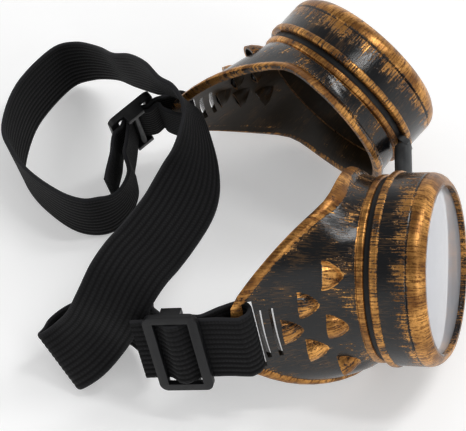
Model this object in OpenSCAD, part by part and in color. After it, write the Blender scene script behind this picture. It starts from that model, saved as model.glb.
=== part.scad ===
// Steampunk goggles: two round eye cups with screw caps, a rubber nose bridge
// and an elastic strap with two slide buckles, lying on a table.
// X runs along the line of the cups, the lenses face -Y, Z is up, the table is Z = 0.
// The origin is on the table, under the middle of the whole object as it lies.

/* [Layout] */
// Distance between the centres of the two necks
cup_pitch = 67.2; // [66.4:0.2:68]
// Outward turn of the right cup, degrees
right_yaw = 25; // [24:0.5:26]
// Outward turn of the left cup, degrees
left_yaw = 34; // [33:0.5:35]
// Upward tilt of the right lens, degrees
right_tilt = 16; // [15:0.5:17]
// Upward tilt of the left lens, degrees
left_tilt = 18; // [17:0.5:19]
// Roll of the right cup about its own axis, tail up, degrees
right_roll = 14; // [13:0.5:15]
// Roll of the left cup about its own axis, tail up, degrees
left_roll = 11; // [10:0.5:12]

/* [Eye cup] */
// Outer radius of the threaded neck
neck_r = 24.9; // [24.6:0.1:25.2]
// Thickness of the neck's wall
neck_wall = 2.3; // [2:0.1:2.6]
// Length of the neck in front of the flange
neck_len = 11; // [10:0.5:11.5]
// Height of the rounded flange above the neck
flange_rise = 2.2; // [1.9:0.1:2.5]
// Thickness of that flange
flange_t = 2.2; // [1.8:0.1:2.6]
// How far the body steps in behind the flange
body_step = 0.9; // [0.7:0.1:1.2]
// Mean radius of the rim that rests on the face
rim_mid_r = 31.8; // [31:0.1:32.6]
// How far the rim leans toward the temple
rim_shift = 3.8; // [3:0.1:4.6]
// Depth of the rim at the tail
tail_depth = 36.6; // [36:0.2:37.2]
// Depth of the rim above and below the eye
cheek_depth = 9.6; // [9:0.1:10.4]
// Wall thickness of the body
wall = 2.2; // [1.8:0.1:2.6]
// Width of the rolled border along the rim
border_w = 3.3; // [3:0.1:3.4]
// Height of the rolled border
border_rise = 0.8; // [0.5:0.1:1.1]

/* [Slots and vents] */
// Length of the two narrow slots
slot_len = 17; // [14:0.5:18]
// Width of the two narrow slots
slot_w = 1.2; // [1:0.1:1.3]
// Depth of the front narrow slot
slot_b_depth = 25.8; // [25.2:0.2:26.2]
// Depth of the rear narrow slot
slot_a_depth = 29; // [28.6:0.2:29.2]
// Length of the strap slot
strap_slot_len = 23.4; // [23:0.2:23.8]
// Radius of a vent at its mouth
vent_r = 4.2; // [3.6:0.1:4.6]
// Length of a vent
vent_len = 6.6; // [6:0.1:7]

/* [Lens cap] */
// Thickness of the cap's side wall
cap_wall = 2.45; // [2.3:0.05:2.7]
// Height of the bead at the back of the cap
bead_rise = 0.5; // [0.4:0.1:0.6]
// Width of that bead
bead_w = 2.3; // [2:0.1:2.6]
// Width of the groove that holds the bridge ring
groove_w = 1.93; // [1.8:0.01:2.1]
// Distance from the flange to the front of the cap
cap_front = 17; // [16.6:0.1:17.4]
// Width of the front lip round the lens opening
lip_w = 3.7; // [3.4:0.1:4]
// Gap round the neck and round the lens, on the radius
cap_play = 0.35; // [0.3:0.05:0.4]
// Thickness of the front lip
lip_t = 1.6; // [1.4:0.1:1.8]
// Thickness of the lens
lens_t = 2; // [1.8:0.1:2.1]

/* [Bridge] */
// Height of the bridge strip
bridge_h = 6; // [5:0.5:7]
// Width of the bridge strip, front to back
bridge_w = 5.2; // [4.6:0.1:5.6]

/* [Strap] */
// Width of the elastic
strap_w = 21; // [20.6:0.1:21.4]
// Thickness of the elastic
strap_t = 1.3; // [1.1:0.05:1.35]
// Angle of the right strap end from the cup axis, degrees
right_strap_turn = 13; // [11:0.5:15]
// Angle of the left strap end from the cup axis, degrees
left_strap_turn = 30; // [28:0.5:32]
// How far the strap ends hang down in their slots
strap_sag = 0.7; // [0.5:0.1:0.9]

/* [Buckles] */
// Distance from the tail bar to the middle of the right buckle
right_buckle_at = 18; // [17.6:0.1:18.4]
// Distance from the tail bar to the middle of the left buckle
left_buckle_at = 14; // [13.6:0.1:14.4]
// Turn of the right buckle toward the head, degrees
right_buckle_turn = 8; // [6:0.5:10]
// Turn of the left buckle toward the head, degrees
left_buckle_turn = 22; // [20:0.5:24]
// Length of a buckle along the strap
buckle_len = 16; // [15.6:0.1:16.4]
// Width of a buckle across the strap
buckle_w = 26.4; // [26:0.1:27]
// Thickness of the buckle frame
buckle_t = 2; // [1.6:0.1:2.4]

/* [Hidden] */
$fn = 96;
RIGHT = -1;
LEFT = 1;
black = [0.09, 0.09, 0.1];
bronze = [0.55, 0.38, 0.18];
elastic = [0.12, 0.12, 0.13];

// ---- turning and placing ----
function rx(a, v) = [v[0], v[1] * cos(a) - v[2] * sin(a), v[1] * sin(a) + v[2] * cos(a)];
function ry(a, v) = [v[0] * cos(a) + v[2] * sin(a), v[1], v[2] * cos(a) - v[0] * sin(a)];
function rz(a, v) = [v[0] * cos(a) - v[1] * sin(a), v[0] * sin(a) + v[1] * cos(a), v[2]];
function yaw(side) = side == LEFT ? left_yaw : -right_yaw;
function tilt(side) = side == LEFT ? left_tilt : right_tilt;
function roll(side) = side == LEFT ? left_roll : 180 - right_roll;
function neck_turn(side, v) = rz(yaw(side), rx(90 - tilt(side), v));
function cup_turn(side, v) = neck_turn(side, rz(roll(side), v));

// ---- eye cup: one mould, used on both sides ----
// In its own frame the cup looks along +Z, the tail is at +X, and Z = 0 is the front of the flange.
skin_start = 2;
tail_half_angle = 19;
tail_soft = 1.5;
cheek_soft = 3.5;
neck_in_r = neck_r - neck_wall;
flange_r = neck_r + flange_rise;
body_r = flange_r - body_step;
slant = 0.5;
nose_extra = 1.7;
shoulder = 48;
function smin(a, b, k) = (a + b - sqrt((a - b) * (a - b) + k * k)) / 2;
function smax(a, b, k) = (a + b + sqrt((a - b) * (a - b) + k * k)) / 2;
function edge_r(t) = rim_mid_r + rim_shift * cos(t);
function edge_depth(t) = let (a = abs(t), side_line = tail_depth - slant * (a - tail_half_angle))
    smax(smin(tail_depth, side_line, tail_soft), cheek_depth + nose_extra * pow(a / 180, 2), cheek_soft);
function flare(t) = let (a = abs(t)) a < shoulder
    ? 1.9 - 1.3 * pow(sin(90 * a / shoulder), 2)
    : 0.6 + 1.4 * pow(sin(90 * min(1, (a - shoulder) / 60)), 2);
function skin_r(t, d) = let (u = max(0, (d - skin_start) / (edge_depth(t) - skin_start)))
    body_r + (edge_r(t) - border_rise - body_r) * pow(u, flare(t));
function stand_h(side) = -min([for (t = [-180:5:175])
    cup_turn(side, [edge_r(t) * cos(t), edge_r(t) * sin(t), -edge_depth(t)])[2]]);
// From the middle of the whole object to the point midway between the necks
middle_x = 9.9;
middle_y = 37.2;
function home(side) = [side * cup_pitch / 2 - middle_x, -middle_y, stand_h(side)];
function cup_at(side, v) = home(side) + cup_turn(side, v);

// Section of the wall at angle t as [radius, depth] points, outside first
function wall_section(t) = let (
    d = edge_depth(t),
    b = d - border_w,
    up = border_rise)
    concat(
        [for (f = [0, 0.25, 0.5, 0.75, 0.92]) let (h = 1.2 + (b - 1.2) * f) [skin_r(t, h), h]],
        [[skin_r(t, b), b], [skin_r(t, b + 0.4) + 0.7 * up, b + 0.4], [skin_r(t, b + 1) + up, b + 1],
            [skin_r(t, d - 0.9) + up, d - 0.9], [skin_r(t, d) + 0.5 * up, d - 0.2],
            [skin_r(t, d) - 0.4 * wall, d], [skin_r(t, d) - wall, d - 0.5]],
        [for (f = [0.8, 0.55, 0.3, 0]) let (h = 1.2 + (d - 1.2) * f) [skin_r(t, h) - wall, h]]);

wall_steps = 60;
module wall_shell() {
    rings = [for (i = [0:wall_steps - 1]) let (t = i * 360 / wall_steps - 180)
        [for (p = wall_section(t)) [p[0] * cos(t), p[0] * sin(t), -p[1]]]];
    m = len(rings[0]);
    points = [for (ring = rings) each ring];
    faces = [for (i = [0:wall_steps - 1]) for (j = [0:m - 1]) let (
        a = i * m + j,
        b = i * m + (j + 1) % m,
        c = ((i + 1) % wall_steps) * m + (j + 1) % m,
        d = ((i + 1) % wall_steps) * m + j)
        each [[a, c, b], [a, d, c]]];
    polyhedron(points, faces);
}

module neck() rotate_extrude() {
    translate([neck_in_r, -flange_t]) square([neck_r - neck_in_r, neck_len + flange_t]);
    translate([neck_in_r, -flange_t]) square([flange_r - 0.7 - neck_in_r, flange_t]);
    translate([neck_in_r, 0.7 - flange_t]) square([flange_r - neck_in_r, flange_t - 1.4]);
    for (z = [0.7 - flange_t, -0.7]) translate([flange_r - 0.7, z]) circle(0.7, $fn = 24);
}

// Vents: half cones on the skin, each open toward the tail: [depth of the mouth, angle]
vents = [[23.9, 0], [18.4, 16.7], [18.4, -16.7], [11.2, 34], [11.2, 0], [11.2, -34]];
vent_sink = 1.3;
vent_wall = 1;
module at_vents() for (v = vents) {
    r0 = skin_r(v[1], v[0]);
    r1 = skin_r(v[1], v[0] - vent_len);
    rotate([0, 0, v[1]]) translate([r0 - vent_sink, 0, -v[0]])
        rotate([0, atan((r1 - r0) / vent_len), 0]) children();
}

module scoop(r, h) rotate_extrude($fn = 36)
    polygon([[0, 0], for (u = [0, 0.3, 0.55, 0.75, 0.9]) [r * (1 - pow(u, 1.7)), h * u], [0, h]]);

bar_depth = tail_depth - border_w / 2;
tail_slope = 26;
strap_slot_w = 2.9;
module slots() {
    for (d = [slot_a_depth, slot_b_depth]) translate([skin_r(0, d), 0, -d])
        cube([10, slot_len, slot_w], center = true);
    translate([bar_x, 0, -bar_depth]) rotate([0, 90 - tail_slope, 0])
        translate([-border_w / 2 - 0.1 - strap_slot_w, -strap_slot_len / 2, -8])
        cube([strap_slot_w, strap_slot_len, 16]);
}

module eye_cup() color(black) difference() {
    union() {
        wall_shell();
        neck();
        at_vents() scoop(vent_r, vent_len);
    }
    at_vents() translate([0, 0, -0.05]) scoop(vent_r - vent_wall, vent_len - 1.4);
    slots();
    translate([0, 0, -flange_t - 3]) cylinder(h = 3.1, r = neck_in_r);
}
module on_neck(side) translate(home(side)) rotate([90 - tilt(side), 0, yaw(side)]) children();
module in_cup(side) on_neck(side) rotate([0, 0, roll(side)]) children();

// ---- cap, lens and gasket ----
cap_in_r = neck_r + cap_play;
cap_r = cap_in_r + cap_wall;
bead_r = cap_r + bead_rise;
opening_r = cap_r - lip_w;
lip_back = cap_front - lip_t;
crease_z = 12;
crease = 0.35;
module lens_cap() color(bronze) rotate_extrude() difference() {
    union() {
        translate([opening_r, groove_w]) square([cap_r - opening_r, crease_z - groove_w]);
        translate([opening_r, groove_w + 0.7]) square([bead_r - opening_r, bead_w - 1.4]);
        for (z = [0.7, bead_w - 0.7]) translate([bead_r - 0.7, groove_w + z]) circle(0.7, $fn = 24);
        polygon([[opening_r, crease_z], [cap_r - crease, crease_z], [cap_r, crease_z + crease],
            [cap_r, crease_z + 1.2], [cap_r - 0.35, crease_z + 2.6], [cap_r - 1, crease_z + 3.7],
            [cap_r - 1.8, crease_z + 4.4], [opening_r + 1.2, cap_front], [opening_r, cap_front]]);
    }
    translate([0, groove_w - 1]) square([cap_in_r, lip_back - groove_w + 1]);
    translate([cap_r, crease_z]) rotate(45) square(crease * 1.4, center = true);
}
module lens() color([0.85, 0.87, 0.9]) translate([0, 0, lip_back - 0.05 - lens_t])
    cylinder(h = lens_t, r = cap_in_r - cap_play);
gasket_back = neck_len + 0.05;
gasket_t = lip_back - lens_t - 0.05 - gasket_back;
module gasket() color(black) translate([0, 0, gasket_back]) difference() {
    cylinder(h = gasket_t, r = neck_r - 0.1);
    translate([0, 0, -1]) cylinder(h = gasket_t + 2, r = neck_in_r);
}

// ---- nose bridge: a ring in each groove and a strip between them ----
ring_out_r = flange_r - 0.6;
ring_t = groove_w - 0.08;
strip_start = 29;
strip_z = -0.8;
function strip_at(side) = home(side) + neck_turn(side, [-side * strip_start, 0, strip_z]);
module stadium(h, w) union() {
    square([h - w, w], center = true);
    for (s = [-1, 1]) translate([s * (h - w) / 2, 0]) circle(w / 2);
}
module nose_bridge() color(black) {
    for (side = [RIGHT, LEFT]) on_neck(side) {
        difference() {
            cylinder(h = ring_t, r = ring_out_r);
            translate([0, 0, -1]) cylinder(h = ring_t + 2, r = neck_r + 0.1);
        }
        translate([-side * (ring_out_r + strip_start + 0.6) / 2, 0, ring_t / 2])
            cube([strip_start + 1.6 - ring_out_r, bridge_h, ring_t], center = true);
    }
    a = strip_at(RIGHT);
    run = strip_at(LEFT) - a;
    translate(a) rotate([0, 90 - asin(run[2] / norm(run)), atan2(run[1], run[0])])
        linear_extrude(norm(run)) stadium(bridge_h, bridge_w);
}

// ---- strap ends: s runs from the tail bar along the strap, n points away from the head ----
bar_bow = edge_r(0) - sqrt(pow(edge_r(0), 2) - pow(strap_slot_len / 2, 2));
bar_x = skin_r(0, bar_depth) + (border_rise - wall - bar_bow) / 2;
function end_turn_angle(side) = side == LEFT ? left_strap_turn : right_strap_turn;
function buckle_turn(side) = side == LEFT ? left_buckle_turn : right_buckle_turn;
function buckle_at(side) = side == LEFT ? left_buckle_at : right_buckle_at;
function to_cup(side, v) = ry(90 - end_turn_angle(side), rx(90, v));
function end_station(side, p) = concat(
    cup_at(side, [bar_x, 0, -bar_depth] + to_cup(side, [p[0], p[1], side * strap_sag])),
    cup_turn(side, to_cup(side, [0, 0, -side * strap_w])));

// Smooth curve through a list of points, with n steps to a span
function blend(a, b, c, d, u) = (2 * b + (c - a) * u + (2 * a - 5 * b + 4 * c - d) * u * u
    + (3 * b - a - 3 * c + d) * u * u * u) / 2;
function smooth(p, n) = let (last = len(p) - 1) concat(
    [for (i = [0:last - 1]) for (j = [0:n - 1])
        blend(p[max(i - 1, 0)], p[i], p[i + 1], p[min(i + 2, last)], j / n)],
    [p[last]]);
function unit(v) = v / norm(v);
function spun(a, p) = [p[0] * cos(a) - p[1] * sin(a), p[0] * sin(a) + p[1] * cos(a)];

// In the buckle's own frame: the free layer over the top, and the layer under it
outer_layer = [[5, 0.95], [3, 2.2], [1.4, 3.5], [0, 3.85], [-1.4, 3.5], [-3, 2.2], [-5, 0.95], [-8, 0.95]];
inner_layer = [[-8, -0.8], [-5, -0.75], [-2.9, 0.35], [-1.3, 1.8], [0, 2.25], [1.3, 1.85], [2.6, 0.6]];
right_exit = [[4, -1.2], [5.3, -2.8], [6.8, -4.2]];
left_exit = [[4.1, -1], [5.8, -2.7], [7.6, -4.4]];
right_tip = [[12.5, 1.1], [8.5, 0.95]];
left_tip = [[19.5, -9.2], [17.3, -7.3], [15, -5.5], [12.5, -3.5], [10.3, -1.2], [8, 0.6]];
// Between the buckle and the tail bar
right_tail_out = [[5.6, 2.6]];
right_tail_in = [[5.4, -2]];
left_tail_out = [[4.6, 3.9]];
left_tail_in = [[3, -1.9], [5.4, 0.3]];
wrap_r = 3.8;
function from_buckle(side, list) = [for (p = list) [buckle_at(side), 0] + spun(-buckle_turn(side), p)];
function exit_layer(side) = concat(inner_layer, side == LEFT ? left_exit : right_exit);
function end_line(side) = concat(
    from_buckle(side, concat(side == LEFT ? left_tip : right_tip, outer_layer)),
    side == LEFT ? left_tail_out : right_tail_out,
    [for (a = [80:20:280]) wrap_r * unit(spun(tail_slope - end_turn_angle(side), [cos(a), sin(a)]))],
    side == LEFT ? left_tail_in : right_tail_in,
    from_buckle(side, exit_layer(side)));
function end_path(side) = [for (p = smooth(end_line(side), 3)) end_station(side, p)];

// Ribbon through a list of stations: middle of the elastic, then the direction of its width
function mid(path, i) = [path[i][0], path[i][1], path[i][2]];
function along(path, i) = unit(mid(path, min(i + 1, len(path) - 1)) - mid(path, max(i - 1, 0)));
function across(path, i) = unit([path[i][3], path[i][4], path[i][5]]);
function strap_ring(path, i) = let (
    w = across(path, i) * strap_w / 2,
    n = unit(cross(along(path, i), across(path, i))) * strap_t / 2,
    m = mid(path, i))
    [m - w - n, m + w - n, m + w + n, m - w + n];
module ribbon(path, from, to) color(elastic) {
    n = to - from;
    polyhedron([for (i = [from:to]) each strap_ring(path, i)],
        concat([[0, 1, 2], [0, 2, 3], [4 * n, 4 * n + 2, 4 * n + 1], [4 * n, 4 * n + 3, 4 * n + 2]],
            [for (i = [0:n - 1]) for (j = [0:3]) let (a = 4 * i + j, b = 4 * i + (j + 1) % 4)
                each [[a, a + 4, b + 4], [a, b + 4, b]]]));
}
module strap_end(side) {
    path = end_path(side);
    ribbon(path, 0, len(path) - 1);
}

// ---- slide buckles: a frame over the strap and a lower middle bar under it ----
frame_n = 1.9;
bar_n = 0.3;
bar_r = 1;
module at_buckle(side) in_cup(side) translate([bar_x, 0, -bar_depth])
    rotate([0, 90 - end_turn_angle(side), 0]) rotate([90, 0, 0])
    translate([buckle_at(side), 0, side * strap_sag]) rotate([0, 0, -buckle_turn(side)]) children();
module rounded(l, w, r) union() {
    square([l, w - 2 * r], center = true);
    square([l - 2 * r, w], center = true);
    for (x = [-1, 1], y = [-1, 1]) translate([x * (l / 2 - r), y * (w / 2 - r)]) circle(r);
}
module buckle(side) color(black) at_buckle(side) {
    rail = (buckle_w - strap_w - 1) / 2;
    translate([0, frame_n, 0]) rotate([-90, 0, 0]) linear_extrude(buckle_t) difference() {
        rounded(buckle_len, buckle_w, 2.4);
        square([buckle_len - 5.6, strap_w + 1], center = true);
    }
    for (b = [-1, 1]) translate([0, frame_n / 2 - 0.35, b * (buckle_w - rail) / 2])
        cube([6, frame_n + 0.9, rail], center = true);
    translate([0, bar_n, 0]) cylinder(h = buckle_w - rail, r = bar_r, center = true);
}

// ---- free strap, measured from midway between the necks ----
// Each station is the middle of the elastic, then the direction of its width.
fold_run = [[-31.5, 68, 17, 11, 1, 18], [-26, 70.5, 12.8, 10, -1, 18], [-20.5, 75.5, 11.2, 5, 0, 20],
    [-19, 83, 10.8, 2, 2, 21], [-21.5, 89, 10.5, 5, 5, 20], [-25, 93, 9.5, 8, 9, 17],
    [-28, 95.4, 8.5, 10, 9, 16]];
cross_run = [[-30, 97, 8.8, 11, 9, 15], [-31.7, 96, 10.8, 12, 10, 14], [-32, 91, 15.5, 12, 12, 12],
    [-31.5, 85.5, 22.5, 8, 15, 12], [-31.8, 81.2, 32.6, 9, 16, 10], [-28.5, 76.5, 39.7, 10, 16, 9],
    [-23, 71.6, 40.7, 12, 15, 8], [-17.3, 66.8, 39.1, 13, 15, 8], [-11.5, 62, 38.2, 13, 15, 7],
    [-3, 56, 36.5, 11, 16, 7], [5, 51, 37, 6, 16, 12], [11.5, 48, 39.5, -2, 14, 15],
    [17.5, 46.5, 42.5, -6, 11, 17], [24.5, 46.5, 45.8, -12, 7, 15], [28, 48.7, 48.8, -13, 3, 16]];
loop_run = [[30.3, 50.7, 50.6, -11, 3, 18], [33.5, 53.5, 50.2, -9, 4, 18], [39, 56, 48, -4, 5, 20],
    [47.5, 59, 42, -2, 6, 20], [57.5, 62.5, 33.5, -3, 7, 20], [71.5, 66, 22.5, -3, 6, 20],
    [81.5, 73, 14.5, -1, 5, 20], [82.5, 81, 11, 0, 5, 20], [69.5, 93.5, 10.6, 1, 5, 20],
    [53.5, 100, 10.6, 1, 5, 20], [44, 99.5, 10.8, -1, 4, 21], [34, 95.5, 10.8, -2, 3, 21],
    [24, 88, 10.8, -2, 2, 21], [19.5, 81.5, 10.8, -2, 2, 21], [19, 75.5, 11, -2, 4, 21],
    [20.5, 70.5, 12.5, -6, 6, 19], [23.5, 67, 15, -10, 6, 18], [27.5, 65.5, 18, -11, 3, 18]];
function exit_station(side, beyond) = let (p = from_buckle(side, exit_layer(side)), n = len(p) - 1)
    end_station(side, p[n] + beyond * unit(p[n] - p[n - 1]));
route = concat([exit_station(RIGHT, 0), exit_station(RIGHT, 2.5)],
    [for (p = concat(fold_run, cross_run, loop_run)) p - [middle_x, middle_y, 0, 0, 0, 0]],
    [exit_station(LEFT, 3), exit_station(LEFT, 0)]);
steps = 2;
free_path = smooth(route, steps);
fold_end = (1 + len(fold_run)) * steps;
cross_end = (1 + len(fold_run) + len(cross_run)) * steps;

module right_eye_cup() in_cup(RIGHT) eye_cup();
module left_eye_cup() in_cup(LEFT) eye_cup();
module right_lens_cap() on_neck(RIGHT) lens_cap();
module left_lens_cap() on_neck(LEFT) lens_cap();
module right_lens() on_neck(RIGHT) lens();
module left_lens() on_neck(LEFT) lens();
module right_lens_gasket() on_neck(RIGHT) gasket();
module left_lens_gasket() on_neck(LEFT) gasket();

right_eye_cup();
left_eye_cup();
right_lens_cap();
left_lens_cap();
right_lens();
left_lens();
right_lens_gasket();
left_lens_gasket();
nose_bridge();
strap_end(RIGHT);  // right_strap_end
strap_end(LEFT);  // left_strap_end
buckle(RIGHT);  // right_strap_buckle
buckle(LEFT);  // left_strap_buckle
ribbon(free_path, 0, fold_end);  // strap_fold_run
ribbon(free_path, fold_end, cross_end);  // strap_cross_run
ribbon(free_path, cross_end, len(free_path) - 1);  // strap_loop_run
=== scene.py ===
"""Steampunk goggles: brushed gold over black plastic cups and caps, clear lenses,
a rubber nose bridge and a ribbed elastic strap with two slide buckles.
Lengths are in millimetres, except in the materials of the cups and caps, the lamps and the camera,
where they are in metres."""
import math

import bpy
from mathutils import Matrix, Vector


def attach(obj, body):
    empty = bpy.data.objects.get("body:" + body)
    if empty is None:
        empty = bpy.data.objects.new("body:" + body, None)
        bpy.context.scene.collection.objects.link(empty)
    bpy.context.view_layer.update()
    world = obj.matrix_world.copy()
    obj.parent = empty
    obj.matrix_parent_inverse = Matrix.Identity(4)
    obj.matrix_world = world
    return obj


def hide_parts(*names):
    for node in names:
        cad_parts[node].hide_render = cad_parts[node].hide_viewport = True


MM = 0.001
RIGHT, LEFT = -1, 1
SIDE_NAME = {RIGHT: "right", LEFT: "left"}

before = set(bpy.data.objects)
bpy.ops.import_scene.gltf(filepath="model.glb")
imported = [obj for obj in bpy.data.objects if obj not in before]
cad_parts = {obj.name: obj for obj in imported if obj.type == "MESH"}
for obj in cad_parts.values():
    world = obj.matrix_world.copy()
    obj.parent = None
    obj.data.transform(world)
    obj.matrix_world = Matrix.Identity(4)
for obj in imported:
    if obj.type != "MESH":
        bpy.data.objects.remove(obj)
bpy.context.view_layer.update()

# ---------------------------------------------------------------- where the cups stand
HALF_PITCH = 33.6  # from the middle to the centre of each neck
MIDDLE = (9.9, 37.2)  # the middle of the whole object, from the point between the necks
NECK_HEIGHT = {RIGHT: 32.726, LEFT: 32.958}
YAW = {RIGHT: -25, LEFT: 34}
TILT = {RIGHT: 16, LEFT: 18}
ROLL = {RIGHT: 166, LEFT: 11}
TAIL_BAR = (32.33, 0, -34.95)  # the bar that the elastic goes round, in the cup's frame
STRAP_TURN = {RIGHT: 13, LEFT: 30}
STRAP_SAG = 0.7
BUCKLE_AT = {RIGHT: 18, LEFT: 14}
BUCKLE_TURN = {RIGHT: 8, LEFT: 22}


def turn(degrees, axis):
    return Matrix.Rotation(math.radians(degrees), 4, axis)


def neck_frame(side):
    """A cup's own frame before its roll: Z comes out through the lens, zero is at the flange."""
    home = Vector((side * HALF_PITCH - MIDDLE[0], -MIDDLE[1], NECK_HEIGHT[side]))
    return Matrix.Translation(home) @ turn(YAW[side], "Z") @ turn(90 - TILT[side], "X")


def cup_frame(side):
    return neck_frame(side) @ turn(ROLL[side], "Z")


def strap_end_frame(side):
    """Where a threaded end of the elastic starts: X runs along it, Z across its width."""
    at_bar = cup_frame(side) @ Matrix.Translation(TAIL_BAR)
    return at_bar @ turn(90 - STRAP_TURN[side], "Y") @ turn(90, "X")


# ---------------------------------------------------------------- node helpers
def join(tree, value, socket):
    if isinstance(value, bpy.types.NodeSocket):
        tree.links.new(value, socket)
    else:
        socket.default_value = value


def node(tree, kind, inputs=None, **settings):
    made = tree.nodes.new("ShaderNode" + kind)
    for name, value in settings.items():
        setattr(made, name, value)
    for name, value in (inputs or {}).items():
        join(tree, value, made.inputs[name])
    return made


def maths(tree, operation, *values):
    made = node(tree, "Math", operation=operation)
    for socket, value in zip(made.inputs, values):
        join(tree, value, socket)
    return made.outputs[0]


def product(tree, first, second):
    return maths(tree, "MULTIPLY", first, second)


def greatest(tree, *values):
    found = values[0]
    for value in values[1:]:
        found = maths(tree, "MAXIMUM", found, value)
    return found


def fade(tree, value, low, high, start=0.0, end=1.0):
    """Goes smoothly from start to end as value goes from low to high."""
    inputs = {"Value": value, "From Min": low, "From Max": high, "To Min": start, "To Max": end}
    return node(tree, "MapRange", inputs, interpolation_type="SMOOTHSTEP").outputs[0]


def mixed(tree, factor, first, second):
    made = node(tree, "Mix", data_type="RGBA")
    join(tree, factor, made.inputs["Factor"])
    join(tree, first, made.inputs[6])
    join(tree, second, made.inputs[7])
    return made.outputs[2]


def noise(tree, vector, scale, detail=2.0, roughness=0.5):
    inputs = {"Vector": vector, "Scale": scale, "Detail": detail, "Roughness": roughness}
    return node(tree, "TexNoise", inputs).outputs[0]


def split(tree, vector):
    return node(tree, "SeparateXYZ", {"Vector": vector}).outputs


def in_millimetres(tree, vector):
    return node(tree, "VectorMath", {0: vector, "Scale": 1 / MM}, operation="SCALE").outputs[0]


def from_axis(tree, x, y):
    """Distance from the Z axis."""
    return maths(tree, "SQRT", maths(tree, "ADD", product(tree, x, x), product(tree, y, y)))


def soft_corner(tree, first, second, width, pick_higher):
    """The higher or lower of two values, with the corner where they cross rounded off."""
    gap = maths(tree, "SUBTRACT", first, second)
    root = maths(tree, "SQRT", maths(tree, "MULTIPLY_ADD", gap, gap, width ** 2))
    total = maths(tree, "ADD", second, first)
    return product(tree, maths(tree, "ADD" if pick_higher else "SUBTRACT", total, root), 0.5)


def group(name, inputs, outputs):
    tree = bpy.data.node_groups.new(name, "ShaderNodeTree")
    for kind, label, value in inputs:
        socket = tree.interface.new_socket(label, in_out="INPUT", socket_type="NodeSocket" + kind)
        if value is not None:
            socket.default_value = value
    for kind, label in outputs:
        tree.interface.new_socket(label, in_out="OUTPUT", socket_type="NodeSocket" + kind)
    return tree, tree.nodes.new("NodeGroupInput").outputs, tree.nodes.new("NodeGroupOutput").inputs


def use(tree, shared, **inputs):
    made = node(tree, "Group", node_tree=shared)
    for name, value in inputs.items():
        join(tree, value, made.inputs[name.replace("_", " ")])
    return made.outputs


def in_frame(tree, vector, matrix):
    """The vector in a frame of its own, such as a cup's, still in metres."""
    place = Vector(matrix.translation) * MM
    inputs = {"Vector": vector, "Location": place, "Rotation": matrix.to_euler("XYZ")}
    return node(tree, "Mapping", inputs, vector_type="TEXTURE").outputs[0]


# ---------------------------------------------------------------- shared effects
STROKE_RADIUS = 27.0


def make_brushed_gold():
    """Strokes of gold along the axis and over the front edge, broken up by patches and specks."""
    outputs = [("Float", label) for label in ("Mask", "Faint", "Relief", "Patches", "Tone")]
    tree, given, out = group("Brushed gold", [
        ("Vector", "Vector", None), ("Float", "Coverage", 0.5), ("Float", "Stretch", 0.07)], outputs)
    mm = in_millimetres(tree, given["Vector"])
    x, y, z = split(tree, mm)
    radius = from_axis(tree, x, y)
    inverse = maths(tree, "DIVIDE", STROKE_RADIUS, greatest(tree, radius, 1.0))
    run = product(tree, maths(tree, "SUBTRACT", z, radius), given["Stretch"])
    around = node(tree, "CombineXYZ", {0: product(tree, x, inverse), 1: product(tree, y, inverse),
                                       2: run}).outputs[0]
    strokes = noise(tree, around, 2.1, 5.0, 0.68)
    patches = noise(tree, mm, 0.16, 2.0)
    specks = noise(tree, mm, 1.45, 4.0, 0.7)
    total = maths(tree, "MULTIPLY_ADD", patches, 0.34, product(tree, specks, 0.46))
    total = maths(tree, "MULTIPLY_ADD", strokes, 0.62, total)
    middle = maths(tree, "MULTIPLY_ADD", given["Coverage"], -0.38, 0.925)
    low = maths(tree, "SUBTRACT", middle, 0.04)
    high = maths(tree, "ADD", middle, 0.045)
    join(tree, fade(tree, total, low, high), out["Mask"])
    fine = noise(tree, around, 3.4, 4.0, 0.7)
    thin = maths(tree, "MULTIPLY_ADD", fine, 0.75, product(tree, patches, 0.4))
    thin = maths(tree, "MULTIPLY_ADD", given["Coverage"], 0.1, thin)
    join(tree, fade(tree, thin, 0.6, 0.72), out["Faint"])
    join(tree, maths(tree, "MULTIPLY_ADD", specks, 0.5, strokes), out["Relief"])
    join(tree, patches, out["Patches"])
    join(tree, noise(tree, mm, 0.09, 2.0), out["Tone"])
    return tree


# The cup's rim: deep at the tail, sloping along the sides, shallow above and below the eye.
TAIL_DEPTH = 36.6
TAIL_HALF_ANGLE = 19
SIDE_SLOPE = 0.5  # millimetres a degree
TAIL_SOFTNESS = 1.5
CHEEK_DEPTH = 9.6
NOSE_EXTRA = 1.7
CHEEK_SOFTNESS = 3.5


def make_rim_distance():
    """How far a point of an eye cup is in front of the rim that rests on the face, in millimetres."""
    tree, given, out = group("Rim distance", [("Vector", "Vector", None)], [("Float", "Distance")])
    x, y, z = split(tree, given["Vector"])
    angle = maths(tree, "ABSOLUTE", maths(tree, "DEGREES", maths(tree, "ARCTAN2", y, x)))
    side_line = maths(tree, "MULTIPLY_ADD", angle, -SIDE_SLOPE, TAIL_DEPTH + SIDE_SLOPE * TAIL_HALF_ANGLE)
    tail = soft_corner(tree, TAIL_DEPTH, side_line, TAIL_SOFTNESS, False)
    share = maths(tree, "DIVIDE", angle, 180.0)
    cheek = maths(tree, "MULTIPLY_ADD", product(tree, share, share), NOSE_EXTRA, CHEEK_DEPTH)
    edge = soft_corner(tree, tail, cheek, CHEEK_SOFTNESS, True)
    join(tree, maths(tree, "MULTIPLY_ADD", z, 1 / MM, edge), out["Distance"])
    return tree


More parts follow.
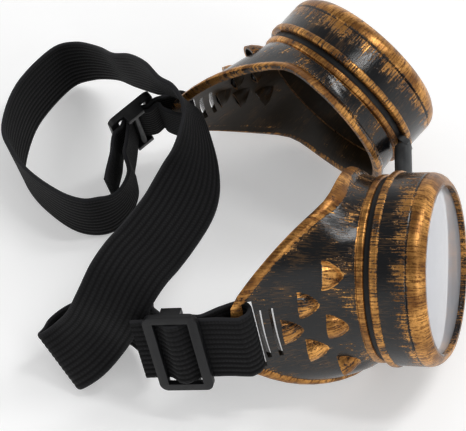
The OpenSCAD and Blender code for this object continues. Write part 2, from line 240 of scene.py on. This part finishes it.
def make_vent_shape():
    """A scoop on the cup: its gold outside and its dark hollow, from a point in the scoop's frame."""
    tree, given, out = group("Vent shape", [("Vector", "Vector", None)],
                             [("Float", "Outside"), ("Float", "Hollow")])
    x, y, z = split(tree, in_millimetres(tree, given["Vector"]))
    across = from_axis(tree, x, y)
    for label, reach, length, soft in (("Outside", 4.35, 6.9, 0.06), ("Hollow", 3.25, 5.3, 0.08)):
        along = maths(tree, "POWER", greatest(tree, maths(tree, "DIVIDE", z, length), 0.0), 1.7)
        size = maths(tree, "ADD", maths(tree, "DIVIDE", across, reach), along)
        inside = fade(tree, size, 1.0, 1.0 + soft, 1.0, 0.0)
        join(tree, product(tree, inside, fade(tree, z, -0.35, -0.1)), out[label])
    return tree


def make_mould_grain():
    """The fine grain and small marks of moulded plastic or rubber, for bump, shade and roughness."""
    tree, given, out = group("Mould grain", [("Vector", "Vector", None), ("Float", "Scale", 2600.0)],
                             [("Float", "Grain"), ("Float", "Marks")])
    fine = noise(tree, given["Vector"], given["Scale"], 3.0, 0.6)
    marks = noise(tree, given["Vector"], 320.0, 4.0, 0.65)
    join(tree, fine, out["Grain"])
    join(tree, marks, out["Marks"])
    return tree


BRUSHED_GOLD = make_brushed_gold()
RIM_DISTANCE = make_rim_distance()
VENT_SHAPE = make_vent_shape()
MOULD_GRAIN = make_mould_grain()


# ---------------------------------------------------------------- materials
BLACK = (0.006, 0.0062, 0.007, 1)
DEEP_BRONZE = (0.115, 0.04, 0.01, 1)
BRIGHT_GOLD = (0.78, 0.385, 0.105, 1)
FAINT_BROWN = (0.085, 0.045, 0.018, 1)
OLIVE = (0.022, 0.014, 0.006, 1)


def blank(name):
    made = bpy.data.materials.new(name)
    made.use_nodes = True
    tree = made.node_tree
    return made, tree, tree.nodes["Principled BSDF"]


def object_place(tree):
    return node(tree, "TexCoord").outputs["Object"]


def bumped(tree, height, strength, distance):
    return node(tree, "Bump", {"Strength": strength, "Distance": distance, "Height": height}).outputs[0]


def gold_over_black(tree, shader, local, coverage, under, stretch, ground_roughness=0.13):
    """Brushed gold on a dark ground, joined to the sockets of the material's own shader."""
    paint = use(tree, BRUSHED_GOLD, Vector=local, Coverage=coverage, Stretch=stretch)
    gold = mixed(tree, fade(tree, paint["Patches"], 0.36, 0.58, 0.3, 1.0), DEEP_BRONZE, BRIGHT_GOLD)
    shade = fade(tree, paint["Relief"], 0.62, 0.84, 0.05, 1.0)
    shade = product(tree, shade, fade(tree, paint["Tone"], 0.4, 0.6, 0.5, 1.0))
    gold = mixed(tree, shade, DEEP_BRONZE, gold)
    worn = mixed(tree, product(tree, paint["Faint"], 0.75), under, FAINT_BROWN)
    join(tree, mixed(tree, paint["Mask"], worn, gold), shader.inputs["Base Color"])
    join(tree, product(tree, paint["Mask"], 0.8), shader.inputs["Metallic"])
    roughness = fade(tree, paint["Mask"], 0.0, 1.0, ground_roughness, 0.34)
    join(tree, roughness, shader.inputs["Roughness"])
    shader.inputs["Specular IOR Level"].default_value = 0.4
    height = maths(tree, "MULTIPLY_ADD", paint["Relief"], 0.55, paint["Mask"])
    join(tree, bumped(tree, height, 0.55, 0.00012), shader.inputs["Normal"])


VENTS = ((23.9, 0), (18.4, 16.7), (18.4, -16.7), (11.2, 34), (11.2, 0), (11.2, -34))  # depth, angle
VENT_LENGTH = 6.6
VENT_SINK = 1.3
BODY_RADIUS = 26.2
BODY_START = 2  # depth at which the wall starts to flare
RIM_RADIUS = 31  # of the skin at the rim, before the border's rise
RIM_SHIFT = 3.8  # toward the tail
SHOULDER = 48  # the angle at which the wall is fullest
SHOULDER_FADE = 60
FLARE_TAIL, FLARE_SHOULDER, FLARE_NOSE = 1.9, 0.6, 2.0


def edge_depth(angle):
    side_line = TAIL_DEPTH - SIDE_SLOPE * (abs(angle) - TAIL_HALF_ANGLE)
    low = (TAIL_DEPTH + side_line - math.hypot(TAIL_DEPTH - side_line, TAIL_SOFTNESS)) / 2
    cheek = CHEEK_DEPTH + NOSE_EXTRA * (angle / 180) ** 2
    return (low + cheek + math.hypot(low - cheek, CHEEK_SOFTNESS)) / 2


def skin_radius(angle, depth):
    """Radius of a cup's outer skin at an angle from the tail and a depth behind the flange."""
    past = abs(angle) - SHOULDER
    if past < 0:
        first, second, share = FLARE_TAIL, FLARE_SHOULDER, abs(angle) / SHOULDER
    else:
        first, second, share = FLARE_SHOULDER, FLARE_NOSE, min(1, past / SHOULDER_FADE)
    flare = first + (second - first) * math.sin(math.radians(90 * share)) ** 2
    along = max(0, (depth - BODY_START) / (edge_depth(angle) - BODY_START))
    rim = RIM_RADIUS + RIM_SHIFT * math.cos(math.radians(angle))
    return BODY_RADIUS + (rim - BODY_RADIUS) * along ** flare


def vent_frame(side, depth, angle):
    """A scoop's own frame: Z runs from its mouth to its point, along the cup's skin."""
    near, far = skin_radius(angle, depth), skin_radius(angle, depth - VENT_LENGTH)
    lean = math.degrees(math.atan((far - near) / VENT_LENGTH))
    mouth = cup_frame(side) @ turn(angle, "Z") @ Matrix.Translation((near - VENT_SINK, 0, -depth))
    return mouth @ turn(lean, "Y")


def cup_material(side):
    made, tree, shader = blank("Brushed gold on black plastic, %s cup" % SIDE_NAME[side])
    place = object_place(tree)
    local = in_frame(tree, place, cup_frame(side))
    normal = node(tree, "NewGeometry").outputs["Normal"]
    facing = in_frame(tree, normal, cup_frame(side).to_3x3().to_4x4())
    x, y, z = split(tree, local)
    nx, ny, nz = split(tree, facing)
    outward = maths(tree, "ADD", product(tree, x, nx), product(tree, y, ny))
    outside = fade(tree, outward, -0.006, 0.003)
    distance = use(tree, RIM_DISTANCE, Vector=local)["Distance"]
    # The gold of the border is narrower toward the nose, thinner on its back face and near the tail.
    narrowed = maths(tree, "ADD", distance, fade(tree, x, -0.02, 0.008, 1.7, 0.0))
    border = product(tree, fade(tree, narrowed, 3.1, 3.6, 1.0, 0.0), fade(tree, nz, -0.75, -0.45, 0.35, 1.0))
    border = product(tree, border, fade(tree, z, -0.035, -0.022, 0.72, 1.0))
    vents, hollows = 0.0, 0.0
    for depth, angle in VENTS:
        shape = use(tree, VENT_SHAPE, Vector=in_frame(tree, place, vent_frame(side, depth, angle)))
        vents = greatest(tree, vents, shape["Outside"])
        hollows = greatest(tree, hollows, shape["Hollow"])
    flange = fade(tree, z, -0.0026, -0.0023)
    raised = greatest(tree, border, vents, flange)
    beside_border = fade(tree, narrowed, 3.5, 6.5, 1.0, 0.0)
    behind_flange = product(tree, fade(tree, z, -0.013, -0.004), 0.19)
    body = maths(tree, "MULTIPLY_ADD", beside_border, 0.22, maths(tree, "ADD", behind_flange, 0.13))
    coverage = maths(tree, "ADD", body, product(tree, raised, 0.56))
    # Inside, only the lip and a faint line beside it take any gold.
    inner_line = product(tree, fade(tree, distance, 2.7, 3.0), fade(tree, distance, 3.5, 3.9, 1.0, 0.0))
    lip = fade(tree, distance, 0.7, 1.1, 1.0, 0.0)
    lining = greatest(tree, product(tree, inner_line, 0.2), product(tree, lip, 0.55))
    lining = maths(tree, "ADD", lining, 0.1)
    inside = maths(tree, "SUBTRACT", 1.0, outside)
    both = maths(tree, "ADD", product(tree, coverage, outside), product(tree, lining, inside))
    both = maths(tree, "SUBTRACT", both, product(tree, hollows, 0.8))
    under = mixed(tree, outside, OLIVE, BLACK)
    gold_over_black(tree, shader, local, both, under, 0.07, fade(tree, outside, 0.0, 1.0, 0.42, 0.13))
    return made


def cap_material(side):
    made, tree, shader = blank("Brushed gold on black plastic, %s cap" % SIDE_NAME[side])
    local = in_frame(tree, object_place(tree), neck_frame(side))
    x, y, z = split(tree, local)
    bead = fade(tree, z, 0.0041, 0.0044, 1.0, 0.0)
    bezel = fade(tree, z, 0.0123, 0.0127)
    toward_bezel = fade(tree, z, 0.0045, 0.0118, 0.12, 0.62)
    coverage = greatest(tree, toward_bezel, product(tree, bead, 0.72), product(tree, bezel, 0.9))
    crease = product(tree, fade(tree, z, 0.0115, 0.0119), fade(tree, z, 0.0122, 0.0125, 1.0, 0.0))
    coverage = maths(tree, "SUBTRACT", coverage, product(tree, crease, 0.22))
    inner_edge = fade(tree, from_axis(tree, x, y), 0.0242, 0.0249, 0.35, 0.0)
    coverage = maths(tree, "SUBTRACT", coverage, inner_edge)
    gold_over_black(tree, shader, local, coverage, BLACK, 0.06)
    return made


def lens_material():
    made, tree, shader = blank("Clear lens")
    grain = use(tree, MOULD_GRAIN, Vector=object_place(tree), Scale=900.0)
    # Painted reflection: the clear lens is coloured nearly white, standing for the white surroundings seen
    # through it and mirrored in it.
    colour = mixed(tree, grain["Marks"], (0.88, 0.885, 0.93, 1), (0.93, 0.935, 0.97, 1))
    join(tree, colour, shader.inputs["Base Color"])
    join(tree, fade(tree, grain["Marks"], 0.45, 0.8, 0.015, 0.06), shader.inputs["Roughness"])
    shader.inputs["Transmission Weight"].default_value = 0.4
    shader.inputs["IOR"].default_value = 1.46
    return made


# Painted shade of the bridge rubber where it lies in the grooves of the necks.
GROOVE_SHADE_BLACK = (0.004, 0.004, 0.0045, 1)


def rubber_material(name, dark, light, roughness, groove_shade=False):
    """Rubber or satin plastic; optionally, the part in the grooves of the necks is painted darker, as
    painted shade in the grooves.
    """
    made, tree, shader = blank(name)
    grain = use(tree, MOULD_GRAIN, Vector=object_place(tree), Scale=2200.0)
    colour = mixed(tree, fade(tree, grain["Marks"], 0.35, 0.7), dark, light)
    # Painted shade: the rubber lying in the grooves of the necks is darkened.
    for side in (RIGHT, LEFT) if groove_shade else ():
        x, y, _ = split(tree, in_frame(tree, object_place(tree), neck_frame(side)))
        colour = mixed(tree, fade(tree, from_axis(tree, x, y), 0.0266, 0.0282), GROOVE_SHADE_BLACK, colour)
    join(tree, colour, shader.inputs["Base Color"])
    worn = fade(tree, grain["Marks"], 0.3, 0.7, roughness - 0.08, roughness + 0.1)
    join(tree, worn, shader.inputs["Roughness"])
    join(tree, bumped(tree, grain["Grain"], 0.35, 0.0001), shader.inputs["Normal"])
    shader.inputs["Specular IOR Level"].default_value = 0.3
    return made


STRAP_WIDTH = 21.0
RIBS = 12
STITCHES = 0.92  # to a millimetre of length
# Painted light and shade on the ribs: the darker colour fills the valleys and the gaps between stitches, the
# lighter one the lit crowns.
THREAD_IN_VALLEY_SHADE = (0.0018, 0.0018, 0.0021, 1)
THREAD_ON_LIT_CROWN = (0.0088, 0.0088, 0.0098, 1)
# Painted highlight along both edges of the elastic.
EDGE_HIGHLIGHT_GREY = (0.028, 0.028, 0.031, 1)


def elastic_material():
    """Black ribbed elastic: each rib shows faint slanting stitches; the crowns of the ribs are painted
    lighter and the valleys darker, as painted light and shade, and the edges carry a painted highlight.
    """
    made, tree, shader = blank("Black ribbed elastic")
    across, length, _ = split(tree, node(tree, "UVMap", uv_map="weave").outputs[0])
    place = maths(tree, "FRACT", product(tree, across, RIBS / STRAP_WIDTH))
    crown = maths(tree, "SINE", product(tree, place, math.pi))
    off_middle = maths(tree, "ABSOLUTE", maths(tree, "SUBTRACT", place, 0.5))
    slant = maths(tree, "MULTIPLY_ADD", off_middle, 1.1, product(tree, length, STITCHES))
    stitch = maths(tree, "SINE", product(tree, slant, 2 * math.pi))
    stitch = maths(tree, "MULTIPLY_ADD", stitch, 0.5, 0.5)
    fuzz = noise(tree, node(tree, "CombineXYZ", {0: across, 1: length}).outputs[0], 2.2, 3.0, 0.7)
    # The painted highlight along both edges of the elastic.
    edge = maths(tree, "ABSOLUTE", maths(tree, "SUBTRACT", across, STRAP_WIDTH / 2))
    edge = fade(tree, edge, STRAP_WIDTH / 2 - 0.75, STRAP_WIDTH / 2 - 0.25)
    # The rib crowns are painted lighter and the valleys darker, as painted light and shade; the stitches and
    # fuzz vary it.
    rib_lift_and_light = product(tree, crown, maths(tree, "MULTIPLY_ADD", stitch, 0.3, 0.7))
    rib_lift_and_light = product(tree, rib_lift_and_light, fade(tree, fuzz, 0.3, 0.7, 0.55, 1.0))
    thread = mixed(tree, rib_lift_and_light, THREAD_IN_VALLEY_SHADE, THREAD_ON_LIT_CROWN)
    join(tree, mixed(tree, product(tree, edge, 0.7), thread, EDGE_HIGHLIGHT_GREY), shader.inputs["Base Color"])
    join(tree, fade(tree, rib_lift_and_light, 0.0, 1.0, 0.9, 0.68), shader.inputs["Roughness"])
    height = maths(tree, "MULTIPLY_ADD", fuzz, 0.35, rib_lift_and_light)
    join(tree, bumped(tree, height, 0.6, 0.00018), shader.inputs["Normal"])
    shader.inputs["Sheen Weight"].default_value = 0.04
    shader.inputs["Sheen Roughness"].default_value = 0.5
    shader.inputs["Specular IOR Level"].default_value = 0.18
    return made


GASKET_RUBBER = rubber_material(
    "Black gasket rubber", (0.012, 0.012, 0.013, 1), (0.025, 0.025, 0.027, 1), 0.55)
BRIDGE_RUBBER = rubber_material(
    "Dark grey bridge rubber", (0.03, 0.032, 0.034, 1), (0.055, 0.058, 0.06, 1), 0.5, groove_shade=True)
BUCKLE_PLASTIC = rubber_material(
    "Satin black buckle plastic", (0.006, 0.006, 0.007, 1), (0.011, 0.011, 0.012, 1), 0.42)
CLEAR_LENS = lens_material()
ELASTIC = elastic_material()


# ---------------------------------------------------------------- pieces
def pick(piece):
    if bpy.context.object and bpy.context.object.mode != "OBJECT":
        bpy.ops.object.mode_set(mode="OBJECT")
    bpy.ops.object.select_all(action="DESELECT")
    piece.select_set(True)
    bpy.context.view_layer.objects.active = piece


def apply_modifier(piece, kind, **settings):
    pick(piece)
    made = piece.modifiers.new(kind, kind)
    for name, value in settings.items():
        setattr(made, name, value)
    bpy.ops.object.modifier_apply(modifier=made.name)


def finish_piece(piece, body, material):
    """Gives a piece its material and the body that it moves with."""
    piece.data.materials.clear()
    piece.data.materials.append(material)
    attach(piece, body)


def dressed_copy(cad_node, name, round_edges, smooth_angle=34):
    """A merged copy of a CAD node with softened edges, which stands for it."""
    piece = bpy.data.objects.new(name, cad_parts[cad_node].data.copy())
    bpy.context.scene.collection.objects.link(piece)
    pick(piece)
    if piece.data.has_custom_normals:
        bpy.ops.mesh.customdata_custom_splitnormals_clear()
    bpy.ops.object.mode_set(mode="EDIT")
    bpy.ops.mesh.select_all(action="SELECT")
    bpy.ops.mesh.remove_doubles(threshold=0.004 * MM)
    bpy.ops.mesh.dissolve_limited(angle_limit=math.radians(0.4))
    bpy.ops.object.mode_set(mode="OBJECT")
    if round_edges:
        apply_modifier(piece, "BEVEL", width=round_edges * MM, segments=2, limit_method="ANGLE",
                       angle_limit=math.radians(32), use_clamp_overlap=True)
    pick(piece)
    bpy.ops.object.shade_smooth_by_angle(angle=math.radians(smooth_angle))
    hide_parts(cad_node)
    return piece


THREAD_START = 3.4  # in front of the flange
THREAD_PITCH = 2.5
THREAD_PROFILE = ((24.7, -0.55), (25.14, -0.12), (25.14, 0.12), (24.7, 0.55))  # radius, height
PLANE_CORNERS_ROUND = (0, 1, 3, 2)


def neck_thread(side):
    """The raised thread round a neck: one small ridge, wound twice."""
    bpy.ops.object.select_all(action="DESELECT")
    bpy.ops.mesh.primitive_plane_add(size=1, location=(0, 0, 0))
    piece = bpy.context.object
    piece.name = SIDE_NAME[side] + "_neck_thread"
    for corner, (radius, height) in zip(PLANE_CORNERS_ROUND, THREAD_PROFILE):
        piece.data.vertices[corner].co = Vector((radius * MM, 0, (THREAD_START + height) * MM))
    apply_modifier(piece, "SCREW", axis="Z", screw_offset=THREAD_PITCH * MM, iterations=2, steps=96,
                   render_steps=96, use_normal_calculate=True, use_merge_vertices=False)
    bpy.ops.object.mode_set(mode="EDIT")
    bpy.ops.mesh.select_all(action="SELECT")
    bpy.ops.mesh.remove_doubles(threshold=0.001 * MM)
    bpy.ops.mesh.normals_make_consistent(inside=False)
    bpy.ops.object.mode_set(mode="OBJECT")
    matrix = neck_frame(side)
    matrix.translation = matrix.translation * MM
    piece.data.transform(matrix)
    pick(piece)
    bpy.ops.object.shade_smooth_by_angle(angle=math.radians(30))
    return piece


for side in (RIGHT, LEFT):
    word = SIDE_NAME[side]
    cup_paint, cap_paint = cup_material(side), cap_material(side)
    cup = dressed_copy(word + "_eye_cup", word + "_cup_shell", 0, 38)
    finish_piece(cup, "goggles", cup_paint)
    cap = dressed_copy(word + "_lens_cap", word + "_screw_cap", 0.16)
    finish_piece(cap, word + "_cap", cap_paint)
    lens = dressed_copy(word + "_lens", word + "_clear_disc", 0.2)
    finish_piece(lens, word + "_lens_stack", CLEAR_LENS)
    gasket = dressed_copy(word + "_lens_gasket", word + "_gasket_ring", 0.12)
    finish_piece(gasket, word + "_lens_stack", GASKET_RUBBER)
    buckle = dressed_copy(word + "_strap_buckle", word + "_slide_buckle", 0.35)
    finish_piece(buckle, "goggles", BUCKLE_PLASTIC)
    finish_piece(neck_thread(side), "goggles", cup_paint)
bridge = dressed_copy("nose_bridge", "rubber_bridge", 0.3)
finish_piece(bridge, "goggles", BRIDGE_RUBBER)

# ---------------------------------------------------------------- the elastic, one length from tip to tip
# Points are (along, out) in the frame of a threaded end; the layers are about the buckle's middle.
OUTER_LAYER = [(5, 0.95), (3, 2.2), (1.4, 3.5), (0, 3.85), (-1.4, 3.5), (-3, 2.2), (-5, 0.95), (-8, 0.95)]
INNER_LAYER = [(-8, -0.8), (-5, -0.75), (-2.9, 0.35), (-1.3, 1.8), (0, 2.25), (1.3, 1.85), (2.6, 0.6)]
EXIT = {RIGHT: [(4, -1.2), (5.3, -2.8), (6.8, -4.2)], LEFT: [(4.1, -1), (5.8, -2.7), (7.6, -4.4)]}
TIP = {RIGHT: [(12.5, 1.1), (8.5, 0.95)],
       LEFT: [(19.5, -9.2), (17.3, -7.3), (15, -5.5), (12.5, -3.5), (10.3, -1.2), (8, 0.6)]}
TAIL_OUT = {RIGHT: [(5.6, 2.6)], LEFT: [(4.6, 3.9)]}
TAIL_IN = {RIGHT: [(5.4, -2)], LEFT: [(3, -1.9), (5.4, 0.3)]}
BEYOND_EXIT = {RIGHT: 2.5, LEFT: 3}
BAR_WRAP = 3.8  # radius of the elastic's middle round the tail bar
TAIL_SLOPE = 26  # of the tail's wall to the cup's own axis, degrees
# Each station is the middle of the elastic and the direction across its width.
FREE_RUN = [
    (-31.5, 68, 17, 11, 1, 18), (-26, 70.5, 12.8, 10, -1, 18), (-20.5, 75.5, 11.2, 5, 0, 20),
    (-19, 83, 10.8, 2, 2, 21), (-21.5, 89, 10.5, 5, 5, 20), (-25, 93, 9.5, 8, 9, 17),
    (-28, 95.4, 8.5, 10, 9, 16),
    (-30, 97, 8.8, 11, 9, 15), (-31.7, 96, 10.8, 12, 10, 14), (-32, 91, 15.5, 12, 12, 12),
    (-31.5, 85.5, 22.5, 8, 15, 12), (-31.8, 81.2, 32.6, 9, 16, 10), (-28.5, 76.5, 39.7, 10, 16, 9),
    (-23, 71.6, 40.7, 12, 15, 8), (-17.3, 66.8, 39.1, 13, 15, 8), (-11.5, 62, 38.2, 13, 15, 7),
    (-3, 56, 36.5, 11, 16, 7), (5, 51, 37, 6, 16, 12), (11.5, 48, 39.5, -2, 14, 15),
    (17.5, 46.5, 42.5, -6, 11, 17), (24.5, 46.5, 45.8, -12, 7, 15), (28, 48.7, 48.8, -13, 3, 16),
    (30.3, 50.7, 50.6, -11, 3, 18), (33.5, 53.5, 50.2, -9, 4, 18), (39, 56, 48, -4, 5, 20),
    (47.5, 59, 42, -2, 6, 20), (57.5, 62.5, 33.5, -3, 7, 20), (71.5, 66, 22.5, -3, 6, 20),
    (81.5, 73, 14.5, -1, 5, 20), (82.5, 81, 11, 0, 5, 20), (69.5, 93.5, 10.6, 1, 5, 20),
    (53.5, 100, 10.6, 1, 5, 20), (44, 99.5, 10.8, -1, 4, 21), (34, 95.5, 10.8, -2, 3, 21),
    (24, 88, 10.8, -2, 2, 21), (19.5, 81.5, 10.8, -2, 2, 21), (19, 75.5, 11, -2, 4, 21),
    (20.5, 70.5, 12.5, -6, 6, 19), (23.5, 67, 15, -10, 6, 18), (27.5, 65.5, 18, -11, 3, 18)]


def spun(degrees, point):
    c, s = math.cos(math.radians(degrees)), math.sin(math.radians(degrees))
    return (point[0] * c - point[1] * s, point[0] * s + point[1] * c)


def at_buckle(side, points):
    turned = [spun(-BUCKLE_TURN[side], p) for p in points]
    return [(x + BUCKLE_AT[side], y) for x, y in turned]


def end_station(side, point):
    matrix = strap_end_frame(side)
    middle = matrix @ Vector((point[0], point[1], side * STRAP_SAG))
    width = matrix.to_3x3() @ Vector((0, 0, -side * STRAP_WIDTH))
    return [*middle, *width]


def strap_end_line(side):
    turned = TAIL_SLOPE - STRAP_TURN[side]
    wrap = [spun(turned, (BAR_WRAP * math.cos(math.radians(a)), BAR_WRAP * math.sin(math.radians(a))))
            for a in range(80, 281, 20)]
    return (at_buckle(side, TIP[side] + OUTER_LAYER) + TAIL_OUT[side] + wrap + TAIL_IN[side]
            + at_buckle(side, INNER_LAYER + EXIT[side]))


def beyond_exit(side):
    before, last = at_buckle(side, EXIT[side])[-2:]
    step = Vector(last) - Vector(before)
    return end_station(side, Vector(last) + step.normalized() * BEYOND_EXIT[side])


def smooth(stations, steps):
    """Stations on one smooth curve through the given ones."""
    made = []
    last = len(stations) - 1
    for i in range(last):
        a, b, c, d = (stations[max(0, min(last, i + k))] for k in (-1, 0, 1, 2))
        for j in range(steps):
            u = j / steps
            made.append([(2 * q + (r - p) * u + (2 * p - 5 * q + 4 * r - s) * u * u
                          + (3 * q - p - 3 * r + s) * u ** 3) / 2 for p, q, r, s in zip(a, b, c, d)])
    return made + [list(stations[last])]


def strap_stations():
    right = smooth([end_station(RIGHT, p) for p in strap_end_line(RIGHT)], 4)
    left = smooth([end_station(LEFT, p) for p in strap_end_line(LEFT)], 4)
    free = [[x - MIDDLE[0], y - MIDDLE[1], *rest] for x, y, *rest in FREE_RUN]
    run = smooth([right[-1], beyond_exit(RIGHT)] + free + [beyond_exit(LEFT), left[-1]], 6)
    return right[:-1] + run[:-1] + left[::-1]


EDGE_INSET = 0.25
EDGE_THICKNESS = 0.3
VALLEY_THICKNESS = 0.5
RIB_RISE = 0.17
STEPS_A_RIB = 4


def rib_section():
    """Half of the elastic's section as (across, thickness) points from one edge to the other."""
    half = STRAP_WIDTH / 2
    steps = RIBS * STEPS_A_RIB
    points = [(-half, EDGE_THICKNESS)]
    for i in range(steps + 1):
        across = -half + EDGE_INSET + (STRAP_WIDTH - 2 * EDGE_INSET) * i / steps
        swell = abs(math.sin(math.pi * i / STEPS_A_RIB)) ** 0.8
        points.append((across, VALLEY_THICKNESS + RIB_RISE * swell))
    return points + [(half, EDGE_THICKNESS)]


def build_strap():
    """The elastic's section carried along its stations, with its width and length in the UV map."""
    stations = strap_stations()
    top = rib_section()
    ring = top + [(across, -thick) for across, thick in reversed(top)]
    count, size = len(stations), len(ring)
    middles = [Vector(s[:3]) for s in stations]
    points, uvs, run = [], [], 0.0
    for i, station in enumerate(stations):
        if i:
            run += (middles[i] - middles[i - 1]).length
        ahead = (middles[min(i + 1, count - 1)] - middles[max(i - 1, 0)]).normalized()
        width = Vector(station[3:]).normalized()
        out = ahead.cross(width).normalized()
        points += [(middles[i] + width * a + out * t) * MM for a, t in ring]
        uvs += [(a + STRAP_WIDTH / 2, run) for a, t in ring]
    faces = []
    for start in range(0, (count - 1) * size, size):
        for j in range(size):
            k = (j + 1) % size
            faces.append((start + j, start + k, start + size + k, start + size + j))
    faces += [tuple(range(size)), tuple(reversed(range((count - 1) * size, count * size)))]
    mesh = bpy.data.meshes.new("elastic_strap")
    mesh.from_pydata(points, [], faces)
    layer = mesh.uv_layers.new(name="weave")
    for loop in mesh.loops:
        layer.data[loop.index].uv = uvs[loop.vertex_index]
    piece = bpy.data.objects.new("elastic_strap", mesh)
    bpy.context.scene.collection.objects.link(piece)
    pick(piece)
    bpy.ops.object.mode_set(mode="EDIT")
    bpy.ops.mesh.select_all(action="SELECT")
    bpy.ops.mesh.normals_make_consistent(inside=False)
    bpy.ops.object.mode_set(mode="OBJECT")
    bpy.ops.object.shade_smooth_by_angle(angle=math.radians(60))
    return piece


strap = build_strap()
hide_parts("right_strap_end", "left_strap_end", "strap_fold_run", "strap_cross_run", "strap_loop_run")
finish_piece(strap, "goggles", ELASTIC)


# ---------------------------------------------------------------- floor, light and camera
def seen_directly(tree, path):
    """One for rays from the camera, reflections and the lenses, zero for the light on surfaces."""
    return greatest(tree, path["Is Camera Ray"], path["Is Glossy Ray"], path["Is Transmission Ray"])


def floor_material():
    """Pale matt floor that reads white to the camera and in reflections, and keeps the shadow."""
    made, tree, shader = blank("White table")
    fleck = noise(tree, object_place(tree), 40.0, 3.0)
    colour = mixed(tree, fleck, (0.80, 0.80, 0.80, 1), (0.84, 0.84, 0.84, 1))
    join(tree, colour, shader.inputs["Base Color"])
    shader.inputs["Roughness"].default_value = 0.9
    shader.inputs["Specular IOR Level"].default_value = 0.1
    seen = seen_directly(tree, node(tree, "LightPath").outputs)
    away = node(tree, "VectorMath", {0: object_place(tree)}, operation="LENGTH").outputs["Value"]
    strength = product(tree, seen, fade(tree, away, 0.15, 1.0, 0.32, 0.6))
    glow = node(tree, "Emission", {"Strength": strength})
    both = node(tree, "AddShader", {0: shader.outputs[0], 1: glow.outputs[0]})
    join(tree, both.outputs[0], tree.nodes["Material Output"].inputs["Surface"])
    return made


def white_world():
    """White behind the object, dimmer overhead in reflections, and an even soft light on surfaces."""
    world = bpy.data.worlds.new("White room")
    bpy.context.scene.world = world
    world.use_nodes = True
    tree = world.node_tree
    path = node(tree, "LightPath").outputs
    seen = seen_directly(tree, path)
    height = split(tree, node(tree, "TexCoord").outputs["Generated"])[2]
    ceiling = fade(tree, height, 0.2, 0.75, 1.0, 0.25)
    dim = greatest(tree, product(tree, seen, ceiling), 0.45)
    not_glossy = maths(tree, "SUBTRACT", 1.0, path["Is Glossy Ray"])
    join(tree, mixed(tree, not_glossy, ceiling, dim), tree.nodes["Background"].inputs["Strength"])
    tree.nodes["Background"].inputs["Color"].default_value = (1, 1, 1, 1)


def soft_lamp(name, place, aim, size, power):
    lamp = bpy.data.lights.new(name, "AREA")
    lamp.shape = "RECTANGLE"
    lamp.size, lamp.size_y = size
    lamp.energy = power
    made = bpy.data.objects.new(name, lamp)
    bpy.context.scene.collection.objects.link(made)
    made.location = place
    made.rotation_euler = (Vector(aim) - Vector(place)).to_track_quat("-Z", "Y").to_euler()


bpy.ops.object.select_all(action="DESELECT")
bpy.ops.mesh.primitive_plane_add(size=6, location=(0, 0, -0.0002))
floor = bpy.context.object
floor.name = "table_top"
floor.data.materials.append(floor_material())
white_world()
CUP_SIDE = (-0.03, -0.02, 0.04)
MIDDLE_OF_TABLE = (0, 0, 0.02)
soft_lamp("long_softbox", (0.12, -0.56, 0.87), CUP_SIDE, (0.1, 0.45), 2.4)
soft_lamp("short_softbox", (-0.09, -0.33, 0.98), CUP_SIDE, (0.07, 0.35), 1.6)
soft_lamp("window_softbox", (-0.9, -0.5, 0.7), MIDDLE_OF_TABLE, (0.35, 0.6), 1.4)
soft_lamp("back_softbox", (0.5, 0.9, 0.6), MIDDLE_OF_TABLE, (0.5, 0.3), 1.0)

camera = bpy.data.objects.new("camera", bpy.data.cameras.new("camera"))
bpy.context.scene.collection.objects.link(camera)
camera.data.lens = 129.34
camera.data.sensor_width = 36
camera.data.clip_start = 0.01
ahead = Vector((0.601, -0.1221, -0.7899))
sideways = Vector((-0.1992, -0.98, 0))
upward = sideways.cross(ahead)
axes = Matrix((sideways, upward, -ahead)).transposed().to_4x4()
camera.matrix_world = Matrix.Translation((-0.3118, 0.0631, 0.422)) @ axes
bpy.context.scene.camera = camera
bpy.context.scene.view_settings.view_transform = "Standard"
